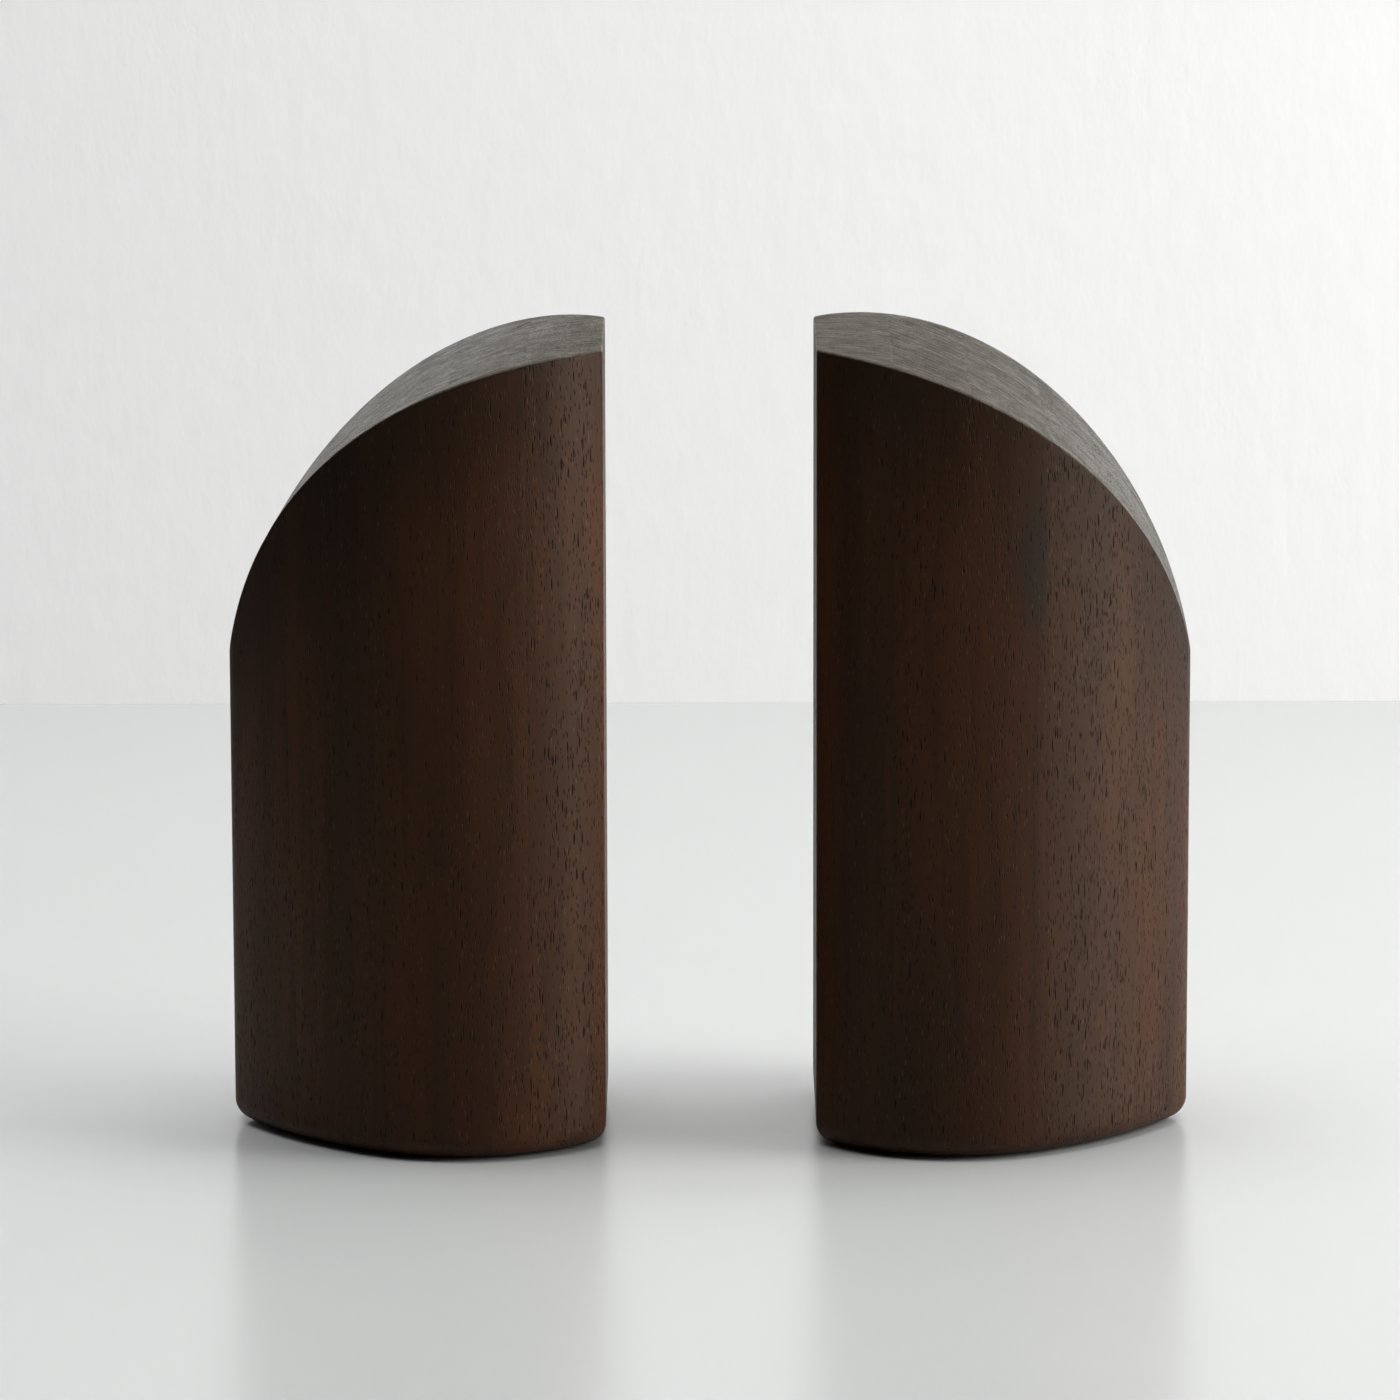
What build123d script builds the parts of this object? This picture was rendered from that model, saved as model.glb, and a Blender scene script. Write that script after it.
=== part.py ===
"""A pair of free-standing wooden book ends.

Each book end is one block glued up from boards that stand on end. Seen from above the block is
egg-shaped, with its blunt end cut off flat on the side that faces the books. Its top falls from
the flat face to the nose as one arc, cut a little out of square. A steel weight sits in a pocket
bored from below, a wooden plug closes the pocket, and a thin pad covers the underside. The two
book ends are the same piece, one of them turned half round.

Millimetres. The origin is on the shelf, midway between the two flat faces. +X runs from the
left book end to the right one, -Y is the front and +Z is up.
"""
import os
from math import acos, atan2, cos, degrees, radians, sin

from build123d import *

# The block
BOARD_THICKNESS = 19.0
BOARD_COUNT = 5
BLOCK_HEIGHT = 203.0
BELLY_RADIUS = 45.5
BELLY_FROM_FACE = 36.0
FLANK_RADIUS = 95.0
NOSE_RADIUS = 9.0
TOP_RADIUS = 96.0
TOP_SKEW = 3.2

# Its eased edges
FOOT_ROUND = 5.5
TOP_ROUND = 1.0

# How the pair stands
GAP = 53.0

# Pad, weight and plug
PAD_THICKNESS = 1.6
PAD_PROUD = 0.5
PAD_INSET = 8.0
PAD_CLEARANCE = 0.2
POCKET_RADIUS = 25.0
WEIGHT_RADIUS = 24.8
WEIGHT_HEIGHT = 28.0
WEIGHT_CHAMFER = 1.0
PLUG_RADIUS = 24.95
PLUG_THICKNESS = 6.0

HALF_TURN = 180.0

# Worked out from the above, for the right book end
BLOCK_WIDTH = BOARD_COUNT * BOARD_THICKNESS
FACE_X = GAP / 2
BELLY_X = FACE_X + BELLY_FROM_FACE
NOSE_X = FACE_X + BLOCK_WIDTH - NOSE_RADIUS
BLOCK_BOTTOM = PAD_PROUD
RECESS_CEILING = PAD_THICKNESS
PLUG_TOP = RECESS_CEILING + PLUG_THICKNESS
POCKET_CEILING = PLUG_TOP + WEIGHT_HEIGHT


def outline(inset=0.0):
    """The block from above, moved in by an inset: a round belly, two flatter flanks that are
    tangent to it and to the small nose, and the flat face."""
    belly = BELLY_RADIUS - inset
    flank = FLANK_RADIUS - inset
    nose = NOSE_RADIUS - inset
    face_x = FACE_X + inset

    # A flank's centre lies on the line from the point where it meets the belly, through the
    # belly's centre. That point is where the same arc also touches the nose from inside.
    reach = NOSE_X - BELLY_X
    spread = flank - belly
    join = acos(((flank - nose) ** 2 - reach**2 - spread**2) / (2 * reach * spread))
    flank_x = BELLY_X - spread * cos(join)
    flank_y = spread * sin(join)
    tip = atan2(flank_y, NOSE_X - flank_x)

    face_angle = acos((face_x - BELLY_X) / belly)
    half_face = belly * sin(face_angle)
    with BuildSketch() as plan:
        with BuildLine():
            for side in (1, -1):
                start = side * degrees(join)
                end = side * degrees(face_angle)
                tangent = side * degrees(tip)
                CenterArc((BELLY_X, 0), belly, start, end - start)
                CenterArc((flank_x, -side * flank_y), flank, tangent, start - tangent)
            CenterArc((NOSE_X, 0), nose, -degrees(tip), 2 * degrees(tip))
            Line((face_x, half_face), (face_x, -half_face))
        make_face()
    return plan.sketch


def top_profile():
    """What lies under the top arc, whose centre is straight below the flat face. It is drawn
    on a plane behind the block that is turned by the skew of the top."""
    skew = radians(TOP_SKEW)
    drawn_on = Plane(
        origin=(FACE_X, 0, 0),
        x_dir=(cos(skew), -sin(skew), 0),
        z_dir=(-sin(skew), -cos(skew), 0),
    )
    centre_z = BLOCK_HEIGHT - TOP_RADIUS
    with BuildSketch(drawn_on.offset(-BLOCK_WIDTH)) as profile:
        with Locations((0, centre_z)):
            Circle(TOP_RADIUS)
            Rectangle(2 * TOP_RADIUS, centre_z, align=(Align.CENTER, Align.MAX))
    return profile.sketch


def make_block():
    """The whole block, glued up and shaped, with its recess and pocket in the underside."""
    with BuildPart() as block:
        with BuildSketch(Plane.XY.offset(BLOCK_BOTTOM)):
            add(outline())
        extrude(amount=BLOCK_HEIGHT - BLOCK_BOTTOM)
        extrude(top_profile(), amount=2 * BLOCK_WIDTH, mode=Mode.INTERSECT)

        foot = block.faces().sort_by(Axis.Z)[0]
        fillet(foot.edges(), radius=FOOT_ROUND)
        top = block.faces().filter_by(GeomType.CYLINDER).sort_by(Axis.Z)[-1]
        fillet(top.edges(), radius=TOP_ROUND)

        with BuildSketch(Plane.XY):
            add(outline(PAD_INSET))
        extrude(amount=RECESS_CEILING, mode=Mode.SUBTRACT)
        with BuildSketch(Plane.XY):
            with Locations((BELLY_X, 0)):
                Circle(POCKET_RADIUS)
        extrude(amount=POCKET_CEILING, mode=Mode.SUBTRACT)
    return block


def make_stave(block, number):
    """One board of the block, numbered from the flat face outwards."""
    inner = Plane.YZ.offset(FACE_X + (number - 1) * BOARD_THICKNESS)
    outer = Plane.YZ.offset(FACE_X + number * BOARD_THICKNESS)
    with BuildPart() as stave:
        add(block.part)
        if number > 1:
            split(bisect_by=inner, keep=Keep.TOP)
        if number < BOARD_COUNT:
            split(bisect_by=outer, keep=Keep.BOTTOM)
    return stave


def make_weight():
    """The steel slug that keeps the book end from tipping."""
    with BuildPart() as weight:
        with BuildSketch(Plane.XY.offset(PLUG_TOP)):
            with Locations((BELLY_X, 0)):
                Circle(WEIGHT_RADIUS)
        extrude(amount=WEIGHT_HEIGHT)
        chamfer(weight.edges().filter_by(GeomType.CIRCLE), length=WEIGHT_CHAMFER)
    return weight


def make_plug():
    """The wooden disc glued into the mouth of the pocket."""
    with BuildPart() as plug:
        with BuildSketch(Plane.XY.offset(RECESS_CEILING)):
            with Locations((BELLY_X, 0)):
                Circle(PLUG_RADIUS)
        extrude(amount=PLUG_THICKNESS)
    return plug


def make_pad():
    """The non-slip pad that the book end stands on."""
    with BuildPart() as pad:
        with BuildSketch(Plane.XY):
            add(outline(PAD_INSET + PAD_CLEARANCE))
        extrude(amount=PAD_THICKNESS)
    return pad


def save_pair(piece, name):
    """Write a piece of the right book end, and the same piece turned half round in the left."""
    with BuildPart() as left:
        add(piece.part, rotation=(0, 0, HALF_TURN))
    for side, made in (("right", piece), ("left", left)):
        made.part.label = f"{side}_{name}"
        export_step(made.part, f"parts/{side}_{name}.step")


os.makedirs("parts", exist_ok=True)
block = make_block()
for number in range(1, BOARD_COUNT + 1):
    save_pair(make_stave(block, number), f"stave_{number}")
save_pair(make_weight(), "weight")
save_pair(make_plug(), "plug")
save_pair(make_pad(), "pad")
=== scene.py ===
"""A pair of dark wooden book ends on a pale glossy table top, in soft light from the right.

Metres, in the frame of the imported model: the origin is on the table between the two flat faces,
+X runs from the left book end to the right one, -Y is the front and +Z is up. The blocks are
shaped in millimetres, measured from the flat face outwards, and scaled when they become meshes.
"""
import math

import bmesh
import bpy
import numpy as np
from mathutils import Matrix, Vector


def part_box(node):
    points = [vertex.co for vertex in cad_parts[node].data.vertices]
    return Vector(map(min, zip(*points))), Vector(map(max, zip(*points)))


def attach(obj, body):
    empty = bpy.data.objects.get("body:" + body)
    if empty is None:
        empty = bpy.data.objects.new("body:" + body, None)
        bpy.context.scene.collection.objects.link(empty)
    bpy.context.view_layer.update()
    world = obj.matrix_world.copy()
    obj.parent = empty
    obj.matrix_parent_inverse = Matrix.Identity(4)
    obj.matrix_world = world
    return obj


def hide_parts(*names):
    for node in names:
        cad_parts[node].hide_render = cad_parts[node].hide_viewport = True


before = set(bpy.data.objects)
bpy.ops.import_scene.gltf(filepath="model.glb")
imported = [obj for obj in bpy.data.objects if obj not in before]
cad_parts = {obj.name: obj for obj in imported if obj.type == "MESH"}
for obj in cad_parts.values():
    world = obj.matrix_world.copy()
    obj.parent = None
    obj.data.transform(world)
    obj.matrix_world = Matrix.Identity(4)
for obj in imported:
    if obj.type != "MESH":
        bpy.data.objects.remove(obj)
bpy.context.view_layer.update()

MM = 0.001

# The block, as it was drawn, in millimetres
BOARD = 19.0
BOARDS = 5
WIDTH = BOARD * BOARDS
BELLY_RADIUS = 45.5
BELLY_FROM_FACE = 36.0
FLANK_RADIUS = 95.0
NOSE_RADIUS = 9.0
TOP_RADIUS = 96.0
TOP_SKEW = math.radians(3.2)
FOOT_ROUND = 5.5
BOTTOM = 0.5
RECESS_CEILING = 1.6
RECESS_INSET = 8.0
PAD_INSET = 8.2
POCKET_RADIUS = 25.0
POCKET_CEILING = 35.6
FACE_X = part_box("right_stave_1")[0].x / MM
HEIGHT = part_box("right_stave_1")[1].z / MM

MIDDLE_X = FACE_X + WIDTH / 2

# What hand sanding leaves on its edges, in millimetres
TOP_EASE = 0.6
CORNER_EASE = 1.2
JOINT_DEPTH = 0.015
JOINT_WIDTH = 0.18

# The felt pads: how round their lower edge is, how uneven their underside and how fine their mesh
PAD_EASE = 0.5
PAD_UNEVEN = 0.06
PAD_STEPS = 60
PAD_SEED = 31

# Faces that meet at more than this are shaded with a hard edge between them.
SHARP_ANGLE = math.radians(32.0)

SIDES = {"left": -1, "right": 1}


# ---------------------------------------------------------------- shape of a block

def outline_numbers():
    """Where the flank arcs of the plan meet the belly and the nose."""
    reach = WIDTH - NOSE_RADIUS - BELLY_FROM_FACE
    spread = FLANK_RADIUS - BELLY_RADIUS
    inside = (FLANK_RADIUS - NOSE_RADIUS) ** 2 - reach**2 - spread**2
    join = math.acos(inside / (2 * reach * spread))
    centre_u = BELLY_FROM_FACE - spread * math.cos(join)
    centre_y = -spread * math.sin(join)
    tip = math.atan2(-centre_y, WIDTH - NOSE_RADIUS - centre_u)
    return join, centre_u, centre_y, tip


JOIN, FLANK_U, FLANK_Y, TIP = outline_numbers()


def half_depth(u, inset=0.0):
    """Half the block's depth at a distance u from the flat face, in a plan moved in by inset."""
    belly = BELLY_RADIUS - inset
    flank = FLANK_RADIUS - inset
    nose = NOSE_RADIUS - inset
    nose_u = WIDTH - NOSE_RADIUS
    if u >= nose_u + nose * math.cos(TIP):
        return math.sqrt(max(nose**2 - (u - nose_u) ** 2, 0.0))
    if u >= BELLY_FROM_FACE + belly * math.cos(JOIN):
        return FLANK_Y + math.sqrt(flank**2 - (u - FLANK_U) ** 2)
    ease = CORNER_EASE - inset
    if ease > 0:
        tangent = BELLY_FROM_FACE * (1 - belly / (BELLY_RADIUS - CORNER_EASE))
        tangent += CORNER_EASE * belly / (BELLY_RADIUS - CORNER_EASE)
        if u < tangent:
            reach = BELLY_RADIUS - CORNER_EASE
            centre = math.sqrt(reach**2 - (BELLY_FROM_FACE - CORNER_EASE) ** 2)
            return centre + math.sqrt(max(ease**2 - (u - CORNER_EASE) ** 2, 0.0))
    return math.sqrt(belly**2 - (u - BELLY_FROM_FACE) ** 2)


def crown_height(u, y):
    """Height of the top at a point of the plan, with its edge over the flat face eased."""
    along = u * math.cos(TOP_SKEW) - y * math.sin(TOP_SKEW)
    height = HEIGHT - TOP_RADIUS + math.sqrt(TOP_RADIUS**2 - along**2)
    if u < TOP_EASE:
        height -= TOP_EASE - math.sqrt(TOP_EASE**2 - (TOP_EASE - u) ** 2)
    return height


def ease_reach(u, hand):
    """How far the eased edge between top and side reaches across the top and down the side, on
    the back of a block (hand 1) or its front (hand -1)."""
    step = 0.05
    # Clear of the eased corner at the flat face and of the nose's very tip
    u = min(max(u, 1.5), WIDTH - 0.02)
    before, after = u - step / 2, min(u + step / 2, WIDTH)
    depth = half_depth(u)
    turn = (half_depth(after) - half_depth(before)) / (after - before)
    y = hand * depth
    rise = (crown_height(after, y) - crown_height(before, y)) / (after - before)
    lean = (crown_height(u, y + step) - crown_height(u, y)) / step
    side_normal = Vector((-turn, hand, 0.0)).normalized()
    top_normal = Vector((-rise, -lean, 1.0)).normalized()
    reach = TOP_EASE * math.tan(side_normal.angle(top_normal) / 2)
    edge = Vector((1.0, hand * turn, rise + lean * hand * turn)).normalized()
    across = reach / max(math.sqrt(edge.x**2 + edge.z**2), 0.05)
    down = reach / max(math.sqrt(edge.x**2 + edge.y**2), 0.05)
    return min(across, 0.6 * depth), down


def column_places(number):
    """Shares of a board's width at which its mesh has a column, and what lies under each:
    nothing, the pad's recess, or the recess and the pocket above it."""
    if number == 1:
        # Close together round the eased corner, then about one to a millimetre
        near = [CORNER_EASE * (1 - math.cos(math.radians(a))) for a in range(0, 91, 15)]
        marks = near + [1.6, 2.2] + [3.0 + i for i in range(16)]
    elif number == BOARDS:
        # Every few degrees round the nose
        nose_at = WIDTH - NOSE_RADIUS - BOARD * (BOARDS - 1)
        marks = [0.0] + [1.0 + 0.9 * i for i in range(8)]
        marks += [nose_at + NOSE_RADIUS * math.sin(math.radians(a)) for a in range(0, 91, 5)]
    else:
        marks = [0.0] + [1.0 + i for i in range(18)]
    if number > 1:
        marks.append(JOINT_WIDTH)
    if number < BOARDS:
        marks += [BOARD - JOINT_WIDTH, BOARD]
    shares = [(m / BOARD, None) for m in sorted(set(marks))]

    start = BOARD * (number - 1)
    low = start + (FOOT_ROUND if number == 1 else 0.0)
    high = start + BOARD - (FOOT_ROUND if number == BOARDS else 0.0)
    changes = []
    for at, before, after in (
        (RECESS_INSET, 0, 1),
        (BELLY_FROM_FACE - POCKET_RADIUS, 1, 2),
        (BELLY_FROM_FACE + POCKET_RADIUS, 2, 1),
        (WIDTH - RECESS_INSET, 1, 0),
    ):
        if low < at < high:
            share = (at - low) / (high - low)
            changes += [(share, before), (share, after)]
    places = []
    for share, under in sorted(shares + changes, key=lambda place: place[0]):
        if under is None:
            at = low + share * (high - low)
            in_recess = RECESS_INSET <= at <= WIDTH - RECESS_INSET
            in_pocket = abs(at - BELLY_FROM_FACE) <= POCKET_RADIUS
            under = 2 if in_pocket else 1 if in_recess else 0
            if any(abs(share - s) < 1e-6 for s, _ in changes):
                continue
        places.append((share, under))
    return places


# Points of a section: the half underside, the foot's rounding, the wall, the eased edge, the top
UNDERSIDE_POINTS = 4
FOOT_STEPS = 10
WALL_STEPS = 44
WALL_CROWDING = 1.6
EASE_STEPS = 6
TOP_STEPS = 40

# How much lighter the foot's rounding, the upright corners and the top's edge over the flat face
# are painted: partly wear, partly painted highlight, and on the foot a painted reflection of the
# table
FOOT_WEAR_AND_REFLECTION = 0.35
CORNER_WEAR_AND_HIGHLIGHT = 0.4
FACE_EDGE_WEAR_AND_HIGHLIGHT = 0.8

# Painted shade darkens the side just below the top's eased edge (below zero), and the edge above it
# is painted lighter, as wear plus a painted highlight.
EASE_SHADE_WEAR_AND_HIGHLIGHT = [-0.5, -1.0, -0.7, 0.0, 0.7, 0.9, 0.4]


def stave_mesh(number, side):
    """One board: columns of points across its width, each a closed line round its section."""
    start = BOARD * (number - 1)
    columns = []
    wear_and_painted_light = []
    for share, under in column_places(number):
        def at(inset):
            low = start + (inset if number == 1 else 0.0)
            high = start + BOARD - (inset if number == BOARDS else 0.0)
            return low + share * (high - low)

        jointed = (share == 0 and number > 1) or (share == 1 and number < BOARDS)
        sunk = JOINT_DEPTH if jointed else 0.0
        u = at(0.0)
        base = at(FOOT_ROUND)
        recess = half_depth(base, RECESS_INSET) if under else 0.0
        ceiling = (BOTTOM, RECESS_CEILING, POCKET_CEILING)[under]
        lip = RECESS_CEILING if under else BOTTOM
        pocket = 0.0
        if under == 2:
            pocket = math.sqrt(max(POCKET_RADIUS**2 - (base - BELLY_FROM_FACE) ** 2, 0.0))
        depth = max(half_depth(u) - sunk, 0.0)
        wear_highlight_shade = [0.0] * UNDERSIDE_POINTS
        wear_highlight_shade += [FOOT_WEAR_AND_REFLECTION * math.sin(math.pi * i / FOOT_STEPS) for i in range(FOOT_STEPS + 1)]
        wear_highlight_shade += [0.0] * (WALL_STEPS - 1)
        wear_highlight_shade += EASE_SHADE_WEAR_AND_HIGHLIGHT
        if share == 0 and number == 1:
            on_side = enumerate(wear_highlight_shade)
            wear_highlight_shade = [max(w, CORNER_WEAR_AND_HIGHLIGHT) if i >= UNDERSIDE_POINTS else w for i, w in on_side]
        halves = []
        for hand in (1, -1):
            half = [
                (base, hand * pocket, ceiling),
                (base, hand * pocket, lip),
                (base, hand * recess, lip),
                (base, hand * recess, BOTTOM),
            ]
            for i in range(FOOT_STEPS + 1):
                a = math.pi / 2 * i / FOOT_STEPS
                inset = FOOT_ROUND * (1 - math.sin(a))
                place = at(inset)
                height = BOTTOM + FOOT_ROUND * (1 - math.cos(a))
                half.append((place, hand * max(half_depth(place, inset) - sunk, 0.0), height))
            foot = BOTTOM + FOOT_ROUND
            across, down = ease_reach(u, hand)
            shoulder = crown_height(u, hand * (depth - across)) - sunk - down
            for i in range(1, WALL_STEPS):
                climb = 1 - (1 - i / WALL_STEPS) ** WALL_CROWDING
                half.append((u, hand * depth, foot + (shoulder - foot) * climb))
            for i in range(EASE_STEPS + 1):
                a = math.pi / 2 * i / EASE_STEPS
                y = depth - across * (1 - math.cos(a))
                half.append((u, hand * max(y, 0.0), shoulder + down * math.sin(a)))
            halves.append(half)
        back, front = halves[0][-1][1], halves[1][-1][1]
        crest = []
        for i in range(1, TOP_STEPS):
            y = back + (front - back) * i / TOP_STEPS
            crest.append((u, y, crown_height(u, y) - sunk))
        edge_wear_and_highlight = FACE_EDGE_WEAR_AND_HIGHLIGHT if share == 0 and number == 1 else 0.0
        columns.append([(base, 0.0, ceiling)] + halves[0] + crest + halves[1][::-1])
        wear_and_painted_light.append([0.0] + wear_highlight_shade + [edge_wear_and_highlight] * len(crest) + wear_highlight_shade[::-1])

    mesh = bmesh.new()
    # Per-point lightening: partly wear, partly painted highlight and painted reflection; values
    # below zero are painted shade
    layer = mesh.verts.layers.float.new("wear_and_painted_light")

    def add(point, amount):
        u, y, z = point
        vertex = mesh.verts.new((side * (FACE_X + u) * MM, side * y * MM, z * MM))
        vertex[layer] = amount
        return vertex

    grid = [[add(p, w) for p, w in zip(loop, wear_highlight_shade)] for loop, wear_highlight_shade in zip(columns, wear_and_painted_light)]
    count = len(grid[0])
    for left, right in zip(grid, grid[1:]):
        for i in range(count):
            j = (i + 1) % count
            mesh.faces.new((left[i], left[j], right[j], right[i]))
    if number > 1:
        mesh.faces.new(grid[0])
    else:
        close_flat_face(mesh, layer, columns[0], grid[0], add)
    if number < BOARDS:
        mesh.faces.new(grid[-1])
    bmesh.ops.remove_doubles(mesh, verts=mesh.verts, dist=1e-7)
    bmesh.ops.recalc_face_normals(mesh, faces=mesh.faces)
    return mesh


def close_flat_face(mesh, layer, loop, ring, add):
    """A grid over the flat face, between the front and back halves of its border."""
    half = UNDERSIDE_POINTS + FOOT_STEPS + 1 + WALL_STEPS - 1 + EASE_STEPS + 1
    count = len(ring)
    first = UNDERSIDE_POINTS + 1
    rows = []
    for i in range(first, half):
        front, back = loop[i], loop[count - i]
        row = [ring[i]]
        for j in range(1, TOP_STEPS):
            point = tuple(a + (b - a) * j / TOP_STEPS for a, b in zip(front, back))
            row.append(add(point, 0.0))
        rows.append(row + [ring[count - i]])
    rows.append([ring[half + j] for j in range(TOP_STEPS + 1)])
    lower = [ring[first], ring[0], ring[count - first]]
    mesh.faces.new(lower + rows[1][::-1])
    for below, above in zip(rows[1:], rows[2:]):
        for j in range(TOP_STEPS):
            mesh.faces.new((below[j], below[j + 1], above[j + 1], above[j]))


def pad_mesh(side, rng):
    """A pressed felt pad with a soft lower edge, its underside slightly uneven."""
    centre = (WIDTH * 0.46, 0.0)
    ring = []
    for i in range(PAD_STEPS):
        along = (1 - math.cos(math.pi * i / PAD_STEPS)) / 2
        u = PAD_INSET + (WIDTH - 2 * PAD_INSET) * along
        ring.append((u, half_depth(u, PAD_INSET)))
    ring.append((WIDTH - PAD_INSET, 0.0))
    ring += [(u, -y) for u, y in reversed(ring[:-1])]

    # Rings of the mesh by their inset and height: down the side, round the edge, across below
    levels = [(0.0, RECESS_CEILING), (0.0, 0.9), (0.0, PAD_EASE)]
    for a in range(15, 91, 15):
        turn = math.radians(a)
        levels.append((PAD_EASE * (1 - math.cos(turn)), PAD_EASE * (1 - math.sin(turn))))
    levels += [(inset, 0.0) for inset in (1.2, 3.0, 7.0, 13.0, 20.0, 28.0)]
    mesh = bmesh.new()
    rows = []
    for inset, z in levels:
        row = []
        for u, y in ring:
            away = Vector((u - centre[0], y - centre[1]))
            share = max(1 - inset / away.length, 0.05)
            lift = PAD_UNEVEN * rng.random() if z == 0.0 else 0.0
            place = (centre[0] + away.x * share, centre[1] + away.y * share)
            point = (side * (FACE_X + place[0]) * MM, place[1] * MM, (z + lift) * MM)
            row.append(mesh.verts.new(point))
        rows.append(row)
    count = len(ring)
    for above, below in zip(rows, rows[1:]):
        for i in range(count):
            j = (i + 1) % count
            mesh.faces.new((above[i], above[j], below[j], below[i]))
    mesh.faces.new(rows[0])
    mesh.faces.new(rows[-1])
    bmesh.ops.remove_doubles(mesh, verts=mesh.verts, dist=1e-7)
    bmesh.ops.recalc_face_normals(mesh, faces=mesh.faces)
    return mesh


def make_object(name, mesh, material):
    """Turn a finished mesh into an object with smooth faces."""
    data = bpy.data.meshes.new(name)
    mesh.to_mesh(data)
    mesh.free()
    data.materials.append(material)
    for polygon in data.polygons:
        polygon.use_smooth = True
    data.set_sharp_from_angle(angle=SHARP_ANGLE)
    made = bpy.data.objects.new(name, data)
    bpy.context.scene.collection.objects.link(made)
    return made


# ---------------------------------------------------------------- materials

class Graph:
    """Short ways of adding shader nodes to one material."""

    def __init__(self, name):
        self.material = bpy.data.materials.new(name)
        self.material.use_nodes = True
        self.tree = self.material.node_tree
        self.tree.nodes.clear()

    def node(self, kind, **settings):
        made = self.tree.nodes.new(kind)
        for key, value in settings.items():
            setattr(made, key, value)
        return made

    def feed(self, socket, value):
        if isinstance(value, bpy.types.NodeSocket):
            self.tree.links.new(value, socket)
        else:
            socket.default_value = value

    def math(self, operation, a, b=0.0, c=0.0, clamp=False):
        made = self.node("ShaderNodeMath", operation=operation, use_clamp=clamp)
        for socket, value in zip(made.inputs, (a, b, c)):
            self.feed(socket, value)
        return made.outputs[0]

    def vector(self, operation, a, b=(0.0, 0.0, 0.0)):
        made = self.node("ShaderNodeVectorMath", operation=operation)
        self.feed(made.inputs[0], a)
        self.feed(made.inputs[1], b)
        return made.outputs["Value" if operation == "LENGTH" else "Vector"]

    def place_in_mm(self):
        """Where a point lies in the object's own frame, in millimetres."""
        scaled = self.node("ShaderNodeVectorMath", operation="SCALE")
        self.feed(scaled.inputs[0], self.node("ShaderNodeTexCoord").outputs["Object"])
        scaled.inputs["Scale"].default_value = 1 / MM
        return scaled.outputs["Vector"]

    def noise(self, place, scale=1.0, detail=2.0, rough=0.5, colour=False, distortion=0.0):
        made = self.node("ShaderNodeTexNoise")
        self.feed(made.inputs["Vector"], place)
        made.inputs["Scale"].default_value = scale
        made.inputs["Detail"].default_value = detail
        made.inputs["Roughness"].default_value = rough
        made.inputs["Distortion"].default_value = distortion
        return made.outputs["Color" if colour else "Fac"]

    def cells(self, place):
        made = self.node("ShaderNodeTexVoronoi", feature="F1")
        self.feed(made.inputs["Vector"], place)
        made.inputs["Scale"].default_value = 1.0
        made.inputs["Randomness"].default_value = 1.0
        return made.outputs["Distance"], made.outputs["Color"]

    def blend(self, share, a, b):
        made = self.node("ShaderNodeMix", data_type="RGBA", blend_type="MIX")
        self.feed(made.inputs["Factor"], share)
        self.feed(made.inputs[6], a)
        self.feed(made.inputs[7], b)
        return made.outputs[2]

    def span(self, value, low, high, to_low=0.0, to_high=1.0, smooth=True):
        way = "SMOOTHSTEP" if smooth else "LINEAR"
        made = self.node("ShaderNodeMapRange", interpolation_type=way)
        for socket, v in zip(made.inputs, (value, low, high, to_low, to_high)):
            self.feed(socket, v)
        return made.outputs[0]

    def part(self, value, index):
        made = self.node("ShaderNodeSeparateXYZ")
        self.feed(made.inputs[0], value)
        return made.outputs[index]

    def finish(self, colour, roughness, height=None, bump=1.0, distance=MM, **settings):
        shader = self.node("ShaderNodeBsdfPrincipled")
        self.feed(shader.inputs["Base Color"], colour)
        self.feed(shader.inputs["Roughness"], roughness)
        for key, value in settings.items():
            shader.inputs[key.replace("_", " ")].default_value = value
        if height is not None:
            relief = self.node("ShaderNodeBump")
            relief.inputs["Strength"].default_value = bump
            relief.inputs["Distance"].default_value = distance
            self.feed(relief.inputs["Height"], height)
            self.feed(shader.inputs["Normal"], relief.outputs["Normal"])
        output = self.node("ShaderNodeOutputMaterial")
        self.feed(output.inputs["Surface"], shader.outputs[0])
        return shader


# Long pores, short pores and painted glints (pale dashes of highlight): cell width and length in
# millimetres, half width of a pore in cells, and the share of cells left empty
PORES = ((0.85, 7.0, 0.25, 0.18), (0.58, 2.6, 0.31, 0.06), (0.60, 4.2, 0.24, 0.28))


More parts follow.
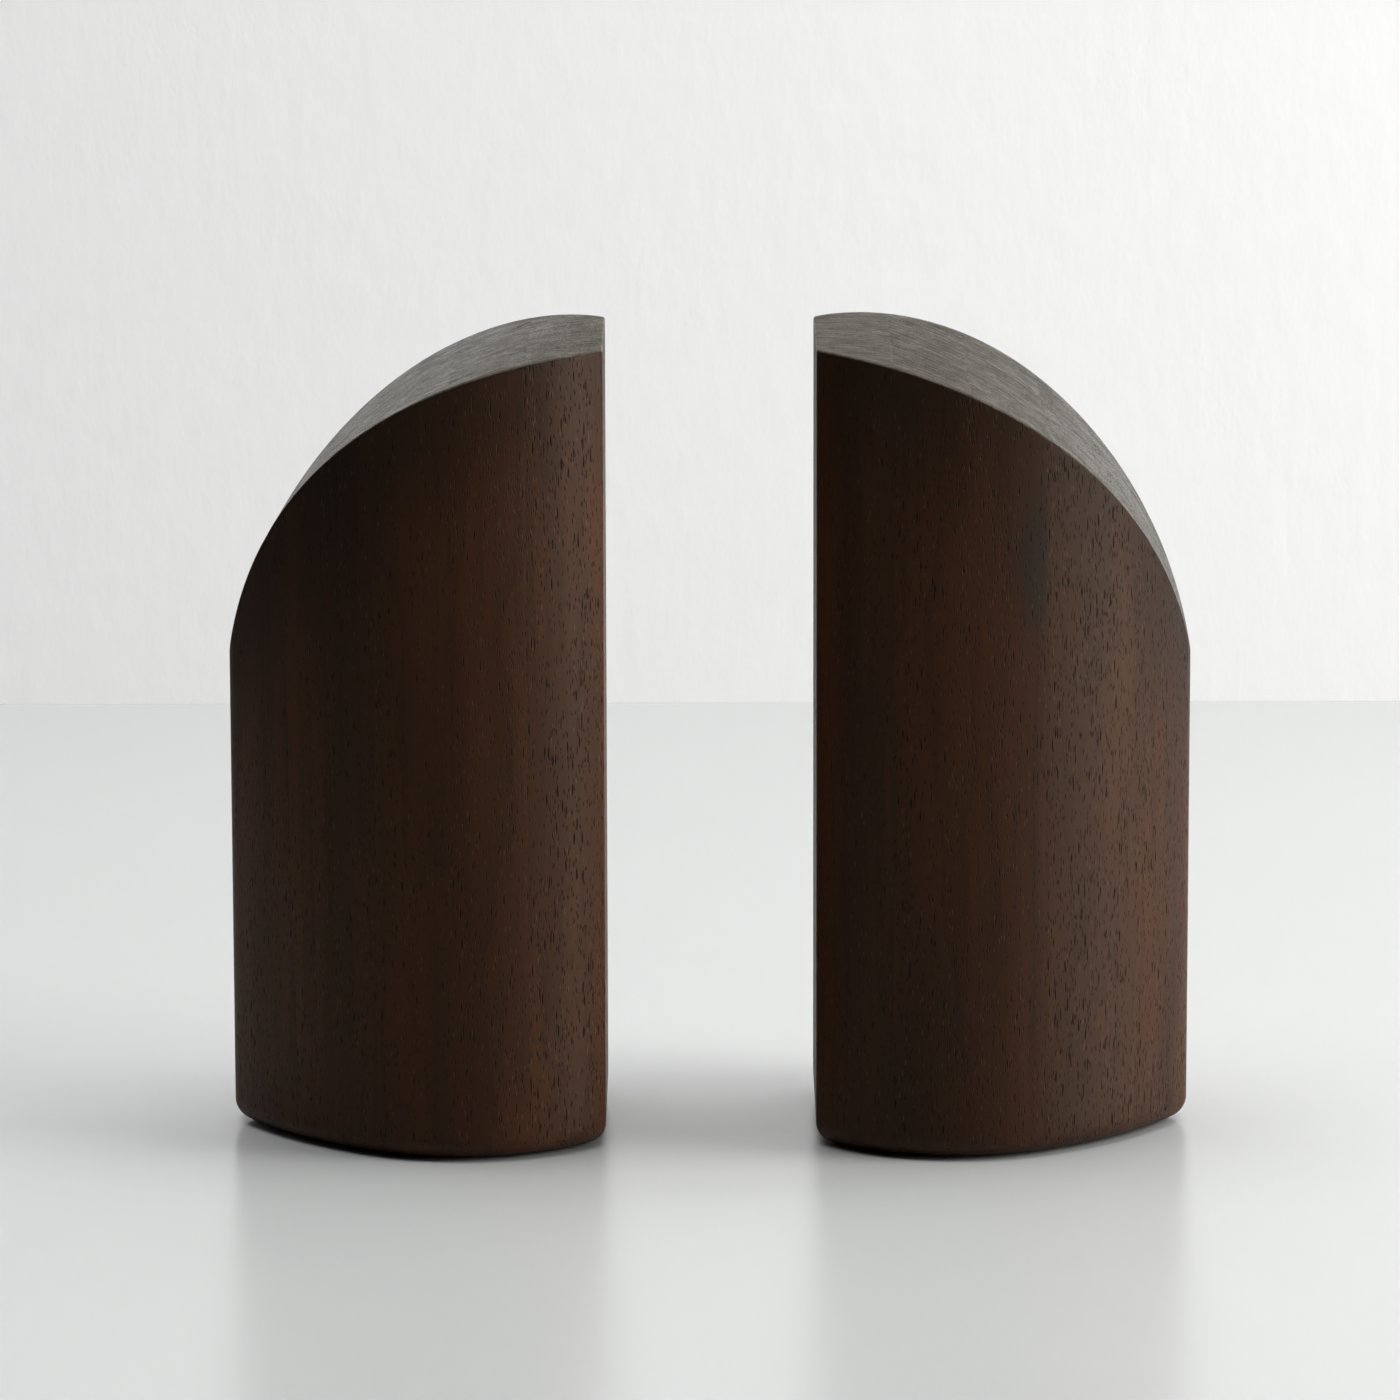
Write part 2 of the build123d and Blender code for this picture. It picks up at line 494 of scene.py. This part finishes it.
def stained_wood(name, seed, pith, ring, light, warmth, pores, patch=None):
    """Open-pored hardwood under a dark satin stain, its grain along Z. Pith is where the tree's
    centre would be, in millimetres from the origin, and ring the spacing of its growth rings.
    Light, warmth and pores are factors on how pale and how red the stain is and how wide the
    pores are. Patch is the middle and half size of one place where the stain took darker."""
    g = Graph(name)
    spot_place = g.place_in_mm()
    place = g.vector("ADD", spot_place, (0.0, 0.0, 37.0 * seed))

    # The fibres wander a little along the board.
    slow = g.noise(g.vector("MULTIPLY", place, (0.02, 0.02, 0.008)), 1.0, 1.0, colour=True)
    slow = g.vector("MULTIPLY", g.vector("SUBTRACT", slow, (0.5, 0.5, 0.5)), (9.0, 9.0, 0.0))
    fine = g.noise(g.vector("MULTIPLY", place, (0.12, 0.12, 0.045)), 1.0, 1.0, colour=True)
    fine = g.vector("MULTIPLY", g.vector("SUBTRACT", fine, (0.5, 0.5, 0.5)), (1.5, 1.5, 0.0))
    grain = g.vector("ADD", g.vector("ADD", place, slow), fine)

    # Growth rings, with a dark line where each one ends
    from_pith = g.vector("SUBTRACT", grain, (pith[0], pith[1], 0.0))
    from_pith = g.vector("MULTIPLY", from_pith, (1.0, 1.0, 0.0))
    radius = g.vector("LENGTH", from_pith)
    years = g.math("DIVIDE", radius, ring)
    uneven = g.noise(g.vector("MULTIPLY", place, (0.05, 0.05, 0.01)), 1.0, 2.0)
    years = g.math("ADD", years, g.math("MULTIPLY", uneven, 1.6))
    phase = g.math("FRACT", years)
    late = g.math("POWER", phase, 5.0)
    early = g.span(phase, 0.0, 0.45, 1.0, 0.0)

    # Pores: long thin hollows along the grain, most of them in the early part of a ring; the third
    # set are painted glints, pale dashes of highlight
    crowd = g.noise(g.vector("MULTIPLY", grain, (0.28, 0.28, 0.02)), 1.0, 2.0)
    crowd = g.span(crowd, 0.36, 0.60, 0.35, 1.0)
    crowd = g.math("MULTIPLY", crowd, g.math("MULTIPLY_ADD", early, 0.35, 0.75))
    pores_and_glints = []
    for size, length, share, empty in PORES:
        spot = g.vector("MULTIPLY", grain, (1 / size, 1 / size, 1 / length))
        spot = g.vector("ADD", spot, (seed * 1.7 + size, seed * 3.1, seed * 0.9))
        distance, colour = g.cells(spot)
        taken = g.math("MULTIPLY", g.part(colour, 0), crowd)
        reach = g.span(taken, empty, empty + 0.12, 0.0, share * pores, smooth=False)
        inside = g.math("DIVIDE", distance, g.math("MAXIMUM", reach, 0.001))
        pores_and_glints.append(g.span(inside, 0.6, 1.05, 1.0, 0.0))
    pore, speck, glint = pores_and_glints

    # Fibres, the finest streaks
    fibre = g.noise(g.vector("MULTIPLY", grain, (3.2, 3.2, 0.22)), 1.0, 3.0, 0.6)
    streak = g.noise(g.vector("MULTIPLY", grain, (0.5, 0.5, 0.012)), 1.0, 2.0, 0.5)
    mottle = g.noise(g.vector("MULTIPLY", grain, (0.9, 0.9, 0.45)), 1.0, 3.0, 0.6)

    # Broad soft bands and blotches in the stain
    band = g.noise(g.vector("MULTIPLY", grain, (0.06, 0.06, 0.005)), 1.0, 2.0)
    blotch = g.noise(g.vector("MULTIPLY", place, (0.04, 0.04, 0.016)), 1.0, 2.0, 0.55)

    deep = (0.0085 * light, 0.0040 * light, 0.0022 * light, 1.0)
    body = (0.0300 * light * warmth, 0.0108 * light, 0.0042 * light / warmth, 1.0)
    rich = (0.0500 * light * warmth, 0.0170 * light, 0.0058 * light / warmth, 1.0)
    cold = (0.0110 * light, 0.0085 * light, 0.0078 * light, 1.0)
    colour = g.blend(g.span(band, 0.36, 0.64), body, rich)
    colour = g.blend(g.math("MULTIPLY", late, 0.3), colour, deep)
    colour = g.blend(g.span(streak, 0.5, 0.8, 0.0, 0.4), colour, deep)
    colour = g.blend(g.span(fibre, 0.4, 0.85, 0.0, 0.3), colour, deep)
    colour = g.blend(g.span(mottle, 0.45, 0.8, 0.0, 0.25), colour, deep)
    colour = g.blend(g.span(blotch, 0.58, 0.78, 0.0, 0.35), colour, cold)
    if patch:
        middle, half_size = patch
        away = g.vector("SUBTRACT", g.vector("ADD", spot_place, slow), middle)
        away = g.vector("LENGTH", g.vector("DIVIDE", away, half_size))
        colour = g.blend(g.span(away, 0.25, 1.25, 0.85, 0.0), colour, cold)

    # Painted shade: the sides darken towards the arc of the top
    from_face = g.math("SUBTRACT", g.math("ABSOLUTE", g.part(spot_place, 0)), FACE_X)
    arc_height = g.math("SUBTRACT", TOP_RADIUS**2, g.math("MULTIPLY", from_face, from_face))
    arc_height = g.math("SQRT", g.math("MAXIMUM", arc_height, 0.0))
    centre_z = HEIGHT - TOP_RADIUS
    below = g.math("SUBTRACT", arc_height, g.math("SUBTRACT", g.part(spot_place, 2), centre_z))
    below = g.math("ADD", below, g.math("MULTIPLY_ADD", blotch, 50.0, -25.0))
    colour = g.blend(g.span(below, 2.0, 48.0, 0.6, 0.0), colour, deep)

    # End grain, where the surface turns up: greyer, with the rings and rays plain to see
    upward = g.part(g.node("ShaderNodeNewGeometry").outputs["Normal"], 2)
    end = g.span(upward, 0.10, 0.32)
    angle = g.math("ARCTAN2", g.part(from_pith, 1), g.part(from_pith, 0))
    pith_away = math.hypot(pith[0] - MIDDLE_X * math.copysign(1, pith[0]), pith[1])
    arc = g.math("MULTIPLY", angle, pith_away)

    def polar(along, outward):
        place = g.node("ShaderNodeCombineXYZ")
        g.feed(place.inputs[0], g.math("MULTIPLY", arc, along))
        g.feed(place.inputs[1], g.math("MULTIPLY", radius, outward))
        return place.outputs[0]

    ray = g.noise(polar(1.3, 0.12), 1.0, 2.0)
    ringlet = g.noise(polar(0.07, 1.1), 1.0, 3.0, 0.6)
    cloud = g.noise(g.vector("MULTIPLY", place, (0.16, 0.16, 0.04)), 1.0, 4.0, 0.62)
    grey_dark = (0.012, 0.0105, 0.0072, 1.0)
    grey_light = (0.052, 0.045, 0.033, 1.0)
    end_colour = g.blend(g.span(cloud, 0.25, 0.75, 0.15, 0.85), grey_dark, grey_light)
    grey_deep = (0.009, 0.0077, 0.0056, 1.0)
    end_colour = g.blend(g.span(ringlet, 0.46, 0.70, 0.0, 0.45), end_colour, grey_deep)
    end_colour = g.blend(g.span(ray, 0.45, 0.75, 0.0, 0.30), end_colour, grey_light)
    end_colour = g.blend(g.span(late, 0.5, 0.95, 0.0, 0.7), end_colour, (0.007, 0.006, 0.005, 1.0))
    colour = g.blend(end, colour, end_colour)

    # Edges painted a little lighter, as wear plus painted highlight; painted shade under the top's
    # eased edge; painted glints; and the pores holding the darkest stain
    wear_highlight_shade = g.node("ShaderNodeAttribute", attribute_name="wear_and_painted_light").outputs["Fac"]
    patchy = g.noise(g.vector("MULTIPLY", place, (0.3, 0.3, 0.12)), 1.0, 3.0)
    rubbed_and_highlight = g.math("MULTIPLY", g.math("MAXIMUM", wear_highlight_shade, 0.0), g.span(patchy, 0.3, 0.75, 0.05, 0.45))
    colour = g.blend(rubbed_and_highlight, colour, (0.105, 0.062, 0.042, 1.0))
    painted_edge_shade = g.math("MULTIPLY", g.math("MAXIMUM", g.math("MULTIPLY", wear_highlight_shade, -1.0), 0.0), 0.85)
    colour = g.blend(painted_edge_shade, colour, (0.0050, 0.0035, 0.0030, 1.0))
    hollow = g.math("MAXIMUM", pore, g.math("MULTIPLY", speck, 0.75), clamp=True)
    # Painted glints: pale dashes that stand in for highlights off the pores' edges
    colour = g.blend(g.math("MULTIPLY", glint, 0.5), colour, (0.100, 0.058, 0.037, 1.0))
    colour = g.blend(g.math("MULTIPLY", hollow, 0.95), colour, (0.0030, 0.0020, 0.0016, 1.0))

    rough = g.span(fibre, 0.3, 0.75, 0.44, 0.54)
    ringed = g.span(late, 0.5, 0.95, 0.0, 0.3)
    ringed = g.math("ADD", ringed, g.span(ringlet, 0.42, 0.70, 0.04, 0.20))
    ringed = g.math("ADD", ringed, g.span(cloud, 0.3, 0.7, 0.12, -0.01))
    ringed = g.math("ADD", ringed, g.span(mottle, 0.35, 0.7, -0.02, 0.08))
    rough = g.math("ADD", rough, g.math("MULTIPLY", end, ringed))
    grazing = g.span(g.node("ShaderNodeLayerWeight").outputs["Facing"], 0.79, 0.89, 0.17, -0.28)
    rough = g.math("ADD", rough, g.math("MULTIPLY", end, grazing))
    rough = g.math("ADD", rough, g.math("MULTIPLY", hollow, 0.45))
    rough = g.math("SUBTRACT", rough, g.math("MULTIPLY", rubbed_and_highlight, 0.1), clamp=True)

    # Relief in millimetres
    wave = g.noise(g.vector("MULTIPLY", grain, (0.14, 0.14, 0.03)), 1.0, 1.0)
    relief = g.math("MULTIPLY", pore, -0.15)
    relief = g.math("ADD", relief, g.math("MULTIPLY", speck, -0.08))
    relief = g.math("ADD", relief, g.math("MULTIPLY", fibre, 0.016))
    relief = g.math("ADD", relief, g.math("MULTIPLY", mottle, 0.02))
    relief = g.math("ADD", relief, g.math("MULTIPLY", wave, 0.05))
    relief = g.math("ADD", relief, g.math("MULTIPLY", g.math("MULTIPLY", end, ray), 0.03))
    relief = g.math("ADD", relief, g.math("MULTIPLY", g.math("MULTIPLY", end, ringlet), -0.025))
    relief = g.math("ADD", relief, g.math("MULTIPLY", late, -0.015))
    relief = g.math("ADD", relief, g.math("MULTIPLY", g.math("MULTIPLY", end, late), -0.06))
    tint = (1.0, 0.84, 0.68, 1.0)
    g.finish(colour, rough, relief, 1.0, MM, Specular_IOR_Level=0.2, Specular_Tint=tint)
    return g.material


def bare_wood(name, seed):
    """The plug: sanded, unstained wood with its growth rings on show."""
    g = Graph(name)
    place = g.place_in_mm()
    wander = g.noise(g.vector("MULTIPLY", place, (0.03, 0.03, 0.03)), 1.0, 2.0, colour=True)
    wander = g.vector("MULTIPLY", g.vector("SUBTRACT", wander, (0.5, 0.5, 0.5)), (8.0, 8.0, 8.0))
    grain = g.vector("ADD", g.vector("ADD", place, wander), (9.0 * seed, 4.0 * seed, 0.0))
    phase = g.math("FRACT", g.math("MULTIPLY", g.part(grain, 1), 0.4))
    late = g.math("POWER", phase, 4.0)
    fibre = g.noise(g.vector("MULTIPLY", grain, (0.12, 3.0, 3.0)), 1.0, 3.0)
    colour = g.blend(fibre, (0.36, 0.24, 0.14, 1.0), (0.24, 0.15, 0.085, 1.0))
    colour = g.blend(g.math("MULTIPLY", late, 0.6), colour, (0.15, 0.085, 0.045, 1.0))
    rough = g.span(fibre, 0.3, 0.7, 0.55, 0.72)
    g.finish(colour, rough, g.math("MULTIPLY", fibre, 0.04), 1.0, MM)
    return g.material


def turned_steel(name):
    """The weight: steel with fine turning marks round its axis and a film of oil."""
    g = Graph(name)
    place = g.place_in_mm()
    across = g.math("ABSOLUTE", g.part(place, 0))
    across = g.math("SUBTRACT", across, FACE_X + BELLY_FROM_FACE)
    y = g.part(place, 1)
    square = g.math("ADD", g.math("MULTIPLY", across, across), g.math("MULTIPLY", y, y))
    radius = g.math("SQRT", square)
    groove = g.node("ShaderNodeCombineXYZ")
    g.feed(groove.inputs[0], g.math("MULTIPLY", radius, 3.0))
    g.feed(groove.inputs[1], g.math("MULTIPLY", g.part(place, 2), 3.0))
    marks = g.noise(groove.outputs[0], 1.0, 3.0)
    film = g.noise(g.vector("MULTIPLY", place, (0.08, 0.08, 0.08)), 1.0, 3.0)
    colour = g.blend(film, (0.42, 0.42, 0.43, 1.0), (0.55, 0.54, 0.52, 1.0))
    rough = g.math("ADD", g.span(film, 0.3, 0.7, 0.22, 0.38), g.math("MULTIPLY", marks, 0.12))
    g.finish(colour, rough, g.math("MULTIPLY", marks, 0.01), 1.0, MM, Metallic=1.0)
    return g.material


def pressed_felt(name):
    """Dense black felt: matted fibres with a few lighter ones."""
    g = Graph(name)
    place = g.place_in_mm()
    tangle = g.noise(place, 2.2, 5.0, 0.7, distortion=1.8)
    lumps = g.noise(place, 0.35, 3.0, 0.6)
    lint = g.noise(g.vector("MULTIPLY", place, (7.0, 1.3, 3.0)), 1.0, 2.0, distortion=2.5)
    colour = g.blend(tangle, (0.012, 0.012, 0.013, 1.0), (0.05, 0.05, 0.052, 1.0))
    colour = g.blend(g.span(lint, 0.66, 0.78, 0.0, 0.5), colour, (0.13, 0.13, 0.13, 1.0))
    relief = g.math("ADD", g.math("MULTIPLY", tangle, 0.25), g.math("MULTIPLY", lumps, 0.2))
    rough = g.span(tangle, 0.3, 0.7, 0.9, 1.0)
    nap = {"Sheen_Weight": 0.35, "Sheen_Roughness": 0.5, "Specular_IOR_Level": 0.2}
    g.finish(colour, rough, relief, 1.0, MM, **nap)
    return g.material


# ---------------------------------------------------------------- pieces

# For each board from the flat face outwards: pith x and y in millimetres, ring spacing,
# lightness, warmth and how open the pores are
BOARD_GRAIN = {
    "left": (
        (-10.0, -95.0, 3.4, 1.05, 1.02, 1.10),
        (-95.0, 70.0, 2.9, 1.00, 1.08, 0.95),
        (-20.0, 120.0, 3.8, 0.92, 1.05, 0.85),
        (-150.0, -60.0, 3.1, 0.85, 0.97, 0.90),
        (-60.0, 80.0, 2.6, 0.95, 1.00, 0.90),
    ),
    "right": (
        (20.0, 90.0, 3.0, 0.80, 1.00, 0.80),
        (125.0, 95.0, 3.6, 0.84, 1.03, 1.00),
        (30.0, -75.0, 3.3, 0.90, 1.08, 0.95),
        (140.0, -85.0, 2.8, 0.98, 1.02, 1.10),
        (40.0, -110.0, 3.5, 1.05, 1.00, 1.05),
    ),
}

# Middle and half size of the place on the right block's third board where the stain is darker
DARK_PATCH = ((80.5, -43.0, 152.0), (8.0, 14.0, 22.0))

boards = {"left": [], "right": []}
for side_number, (side, sign) in enumerate(SIDES.items()):
    body = f"{side}_bookend"
    for number in range(1, BOARDS + 1):
        x, y, ring, light, warmth, pores = BOARD_GRAIN[side][number - 1]
        seed = side_number * BOARDS + number
        patch = DARK_PATCH if (side, number) == ("right", 3) else None
        wood = stained_wood(
            f"dark_wood_{side}_{number}", seed, (x, y), ring, light, warmth, pores, patch
        )
        board = make_object(f"{side}_board_{number}", stave_mesh(number, sign), wood)
        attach(board, body)
        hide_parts(f"{side}_stave_{number}")
        boards[side].append(board)

felt = pressed_felt("pressed_felt")
steel = turned_steel("turned_steel")
for side_number, (side, sign) in enumerate(SIDES.items()):
    rng = np.random.default_rng(PAD_SEED + side_number)
    pad = make_object(f"{side}_felt_pad", pad_mesh(sign, rng), felt)
    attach(pad, f"{side}_bookend")
    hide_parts(f"{side}_pad")
    plug_wood = bare_wood(f"bare_wood_{side}", side_number)
    for node, material in ((f"{side}_weight", steel), (f"{side}_plug", plug_wood)):
        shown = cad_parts[node]
        shown.data.materials.clear()
        shown.data.materials.append(material)


# ---------------------------------------------------------------- camera

# Place in metres, angles in degrees, lens and sensor in millimetres
CAMERA_AT = Vector((-0.00255, -2.04696, 0.51993))
LOOK_DOWN = 11.349
ROLL = -0.13
LENS = 212.03
SENSOR = 36.0

camera_data = bpy.data.cameras.new("camera")
camera_data.sensor_width = SENSOR
camera_data.lens = LENS
camera_data.clip_start = 0.05
camera_data.clip_end = 50.0
camera = bpy.data.objects.new("camera", camera_data)
bpy.context.scene.collection.objects.link(camera)
tilted = Matrix.Rotation(math.radians(90 - LOOK_DOWN), 4, "X")
rolled = Matrix.Rotation(math.radians(ROLL), 4, "Z")
camera.matrix_world = Matrix.Translation(CAMERA_AT) @ tilted @ rolled
bpy.context.scene.camera = camera


# ---------------------------------------------------------------- table, wall and light

def stage_plane(name, corners, material):
    """One flat piece of the surroundings."""
    data = bpy.data.meshes.new(name)
    data.from_pydata(corners, [], [(0, 1, 2, 3)])
    data.materials.append(material)
    made = bpy.data.objects.new(name, data)
    bpy.context.scene.collection.objects.link(made)
    return made


def table_finish():
    """Pale lacquer with a soft gloss."""
    g = Graph("pale_lacquer")
    place = g.node("ShaderNodeTexCoord").outputs["Object"]
    cloud = g.noise(place, 3.0, 3.0)
    colour = g.blend(cloud, (0.38, 0.39, 0.387, 1.0), (0.405, 0.415, 0.412, 1.0))
    rough = g.span(cloud, 0.3, 0.7, 0.20, 0.26)
    g.finish(colour, rough)
    return g.material


def wall_finish():
    """White plaster with a fine rolled texture, seen from its front only."""
    g = Graph("white_plaster")
    place = g.node("ShaderNodeTexCoord").outputs["Object"]
    stipple = g.noise(g.vector("MULTIPLY", place, (1.0, 1.0, 0.45)), 170.0, 3.0, 0.5)
    colour = g.blend(stipple, (0.84, 0.84, 0.845, 1.0), (0.86, 0.86, 0.865, 1.0))
    rough = g.span(stipple, 0.3, 0.7, 0.7, 0.9)
    shader = g.finish(colour, rough, stipple, 0.2, 0.0009)
    clear = g.node("ShaderNodeBsdfTransparent")
    choose = g.node("ShaderNodeMixShader")
    g.feed(choose.inputs[0], g.node("ShaderNodeNewGeometry").outputs["Backfacing"])
    g.feed(choose.inputs[1], shader.outputs[0])
    g.feed(choose.inputs[2], clear.outputs[0])
    output = next(n for n in g.tree.nodes if n.type == "OUTPUT_MATERIAL")
    g.feed(output.inputs["Surface"], choose.outputs[0])
    return g.material


WALL_Y = 0.54

stage_plane("table_top", [(-6, -6, 0), (6, -6, 0), (6, 6, 0), (-6, 6, 0)], table_finish())
wall_corners = [(-3, WALL_Y, 0), (3, WALL_Y, 0), (3, WALL_Y, 3), (-3, WALL_Y, 3)]
stage_plane("back_wall", wall_corners, wall_finish())

# A black card out of the picture darkens what the left block's left side mirrors.
FLAG_X = -0.42
flag_material = Graph("black_card")
flag_material.finish((0.01, 0.01, 0.01, 1.0), 0.9)
flag_corners = [(FLAG_X, -0.3, 0), (FLAG_X, 0.5, 0), (FLAG_X, 0.5, 0.5), (FLAG_X, -0.3, 0.5)]
flag = stage_plane("black_flag", flag_corners, flag_material.material)
flag.visible_camera = False
flag.visible_diffuse = False
flag.visible_shadow = False


def soft_light(name, place, target, width, height, power, colour=(1.0, 1.0, 1.0)):
    """A rectangular area light, in metres and watts, that the camera does not see."""
    data = bpy.data.lights.new(name, "AREA")
    data.shape = "RECTANGLE"
    data.size = width
    data.size_y = height
    data.energy = power
    data.color = colour
    made = bpy.data.objects.new(name, data)
    made.location = place
    made.rotation_euler = (Vector(target) - Vector(place)).to_track_quat("-Z", "Y").to_euler()
    made.visible_camera = False
    bpy.context.scene.collection.objects.link(made)
    return made


def window_light(name, y, width, power):
    """A tall warm light on the right, of a given width and distance along Y."""
    place = (1.7, y, 0.75)
    return soft_light(name, place, (0.0, 0.0, 0.12), width, 1.4, power, (1.0, 0.985, 0.965))


def choose_objects(name, state):
    """A collection that leaves some boards out of what a light reaches or is blocked by."""
    chosen = bpy.data.collections.new(name)
    for side, included in state.items():
        for board in boards[side]:
            chosen.objects.link(board)
            linking = chosen.collection_objects[-1].light_linking
            linking.link_state = "INCLUDE" if included else "EXCLUDE"
    return chosen


# The two blocks are lit alike: the light from the right reaches the left block past the right one.
window = window_light("window", -0.30, 0.9, 45.0)
window.light_linking.receiver_collection = choose_objects("not_the_left_block", {"left": False})
past_the_right = window_light("window_for_the_left_block", -0.08, 1.4, 62.0)
past_the_right.light_linking.receiver_collection = choose_objects("the_left_block", {"left": True})
not_the_right = choose_objects("not_the_right_block", {"right": False})
past_the_right.light_linking.blocker_collection = not_the_right
soft_light("ceiling", (0.05, 0.14, 2.2), (0.0, 0.5, 0.2), 2.4, 1.2, 72.0)

# The room is darker on the viewer's side. The camera itself sees an even pale backdrop.
world = bpy.data.worlds.new("studio")
world.use_nodes = True
bpy.context.scene.world = world
nodes, links = world.node_tree.nodes, world.node_tree.links
nodes.clear()
direction = nodes.new("ShaderNodeTexCoord")
parts = nodes.new("ShaderNodeSeparateXYZ")
links.new(direction.outputs["Generated"], parts.inputs[0])
rise = nodes.new("ShaderNodeMapRange")
rise.interpolation_type = "SMOOTHSTEP"
links.new(parts.outputs["Y"], rise.inputs["Value"])
for key, value in (("From Min", -0.25), ("From Max", 0.5), ("To Min", 0.01), ("To Max", 0.62)):
    rise.inputs[key].default_value = value
room = nodes.new("ShaderNodeBackground")
links.new(rise.outputs[0], room.inputs["Strength"])
backdrop = nodes.new("ShaderNodeBackground")
backdrop.inputs["Color"].default_value = (0.84, 0.84, 0.84, 1.0)
seen = nodes.new("ShaderNodeLightPath")
pick = nodes.new("ShaderNodeMixShader")
links.new(seen.outputs["Is Camera Ray"], pick.inputs[0])
links.new(room.outputs[0], pick.inputs[1])
links.new(backdrop.outputs[0], pick.inputs[2])
out = nodes.new("ShaderNodeOutputWorld")
links.new(pick.outputs[0], out.inputs["Surface"])

bpy.context.scene.view_settings.view_transform = "Standard"
